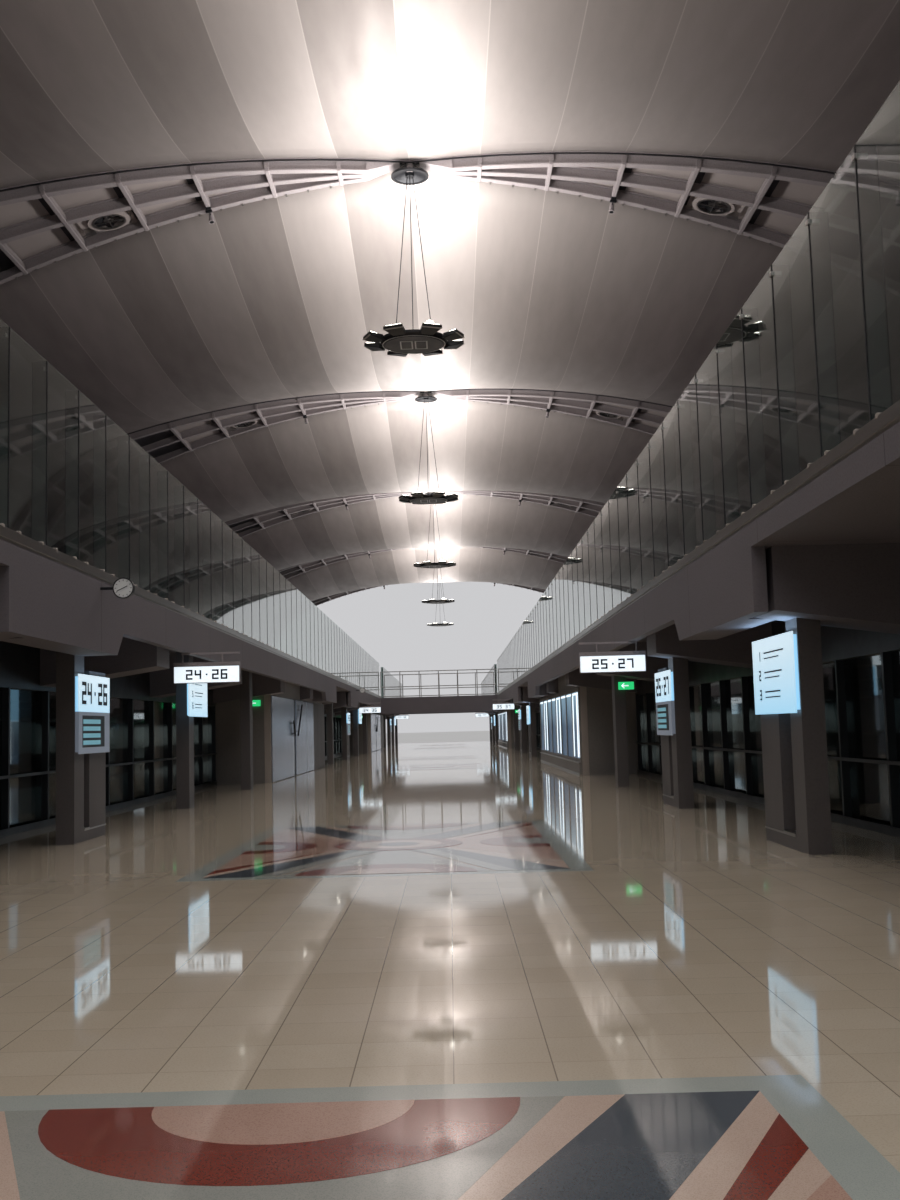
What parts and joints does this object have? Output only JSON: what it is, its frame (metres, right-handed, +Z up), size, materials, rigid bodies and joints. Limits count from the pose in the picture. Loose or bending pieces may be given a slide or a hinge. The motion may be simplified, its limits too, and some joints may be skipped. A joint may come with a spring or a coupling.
{
  "type": "vaulted airport concourse hall, 1:10 scale model",
  "caption": "Scale model of a long vaulted airport concourse hall: splayed arch trusses, sagging roof lining, two upper decks with glass screens, a cross bridge and hanging lamp rings.",
  "frame": {"origin": "centre of the underside of the floor slab", "axes": "+X to the right of the hall as the picture sees it, +Y along the hall away from the viewer, +Z up"},
  "size_m": [4.3132, 17.1, 1.979],
  "materials": {
    "stone_floor": "polished",
    "concrete": "matt",
    "column_paint": "satin",
    "wall_paint": "matt",
    "dark_metal": "satin",
    "brushed_metal": "brushed",
    "glass": "clear",
    "truss_paint": "satin",
    "membrane": "matt",
    "light_panel": "lit"
  },
  "bodies": {
    "root": {"floor_slab": "stone_floor", "deck_left": "concrete", "deck_right": "concrete", "edge_face_left": "concrete", "edge_face_right": "concrete", "deck_beams": "concrete", "columns": "column_paint", "gate_piers": "column_paint", "outer_wall_left": "concrete", "outer_wall_right": "concrete", "outer_glass": "glass", "service_walls": "wall_paint", "steel_panels": "brushed_metal", "display_windows": "wall_paint", "lounge_frames": "dark_metal", "lounge_glass": "glass", "screen_shoes": "brushed_metal", "screen_panes": "glass", "screen_fins": "glass", "cross_bridge": "concrete", "bridge_railings": "brushed_metal", "arch_1": "truss_paint", "arch_2": "truss_paint", "arch_3": "truss_paint", "arch_4": "truss_paint", "arch_5": "truss_paint", "arch_6": "truss_paint", "arch_7": "truss_paint", "crown_pins": "dark_metal", "lining_1": "membrane", "lining_2": "membrane", "lining_3": "membrane", "lining_4": "membrane", "lining_5": "membrane", "lining_6": "membrane", "membrane_1": "membrane", "membrane_2": "membrane", "membrane_3": "membrane", "membrane_4": "membrane", "membrane_5": "membrane", "membrane_6": "membrane", "roof_kerbs": "truss_paint", "roof_lights": "glass", "lamp_discs": "dark_metal", "lamp_heads": "dark_metal", "lamp_stays": "brushed_metal", "light_boxes": "light_panel", "gate_signs": "light_panel", "clocks": "dark_metal"}
  },
  "joints": []
}
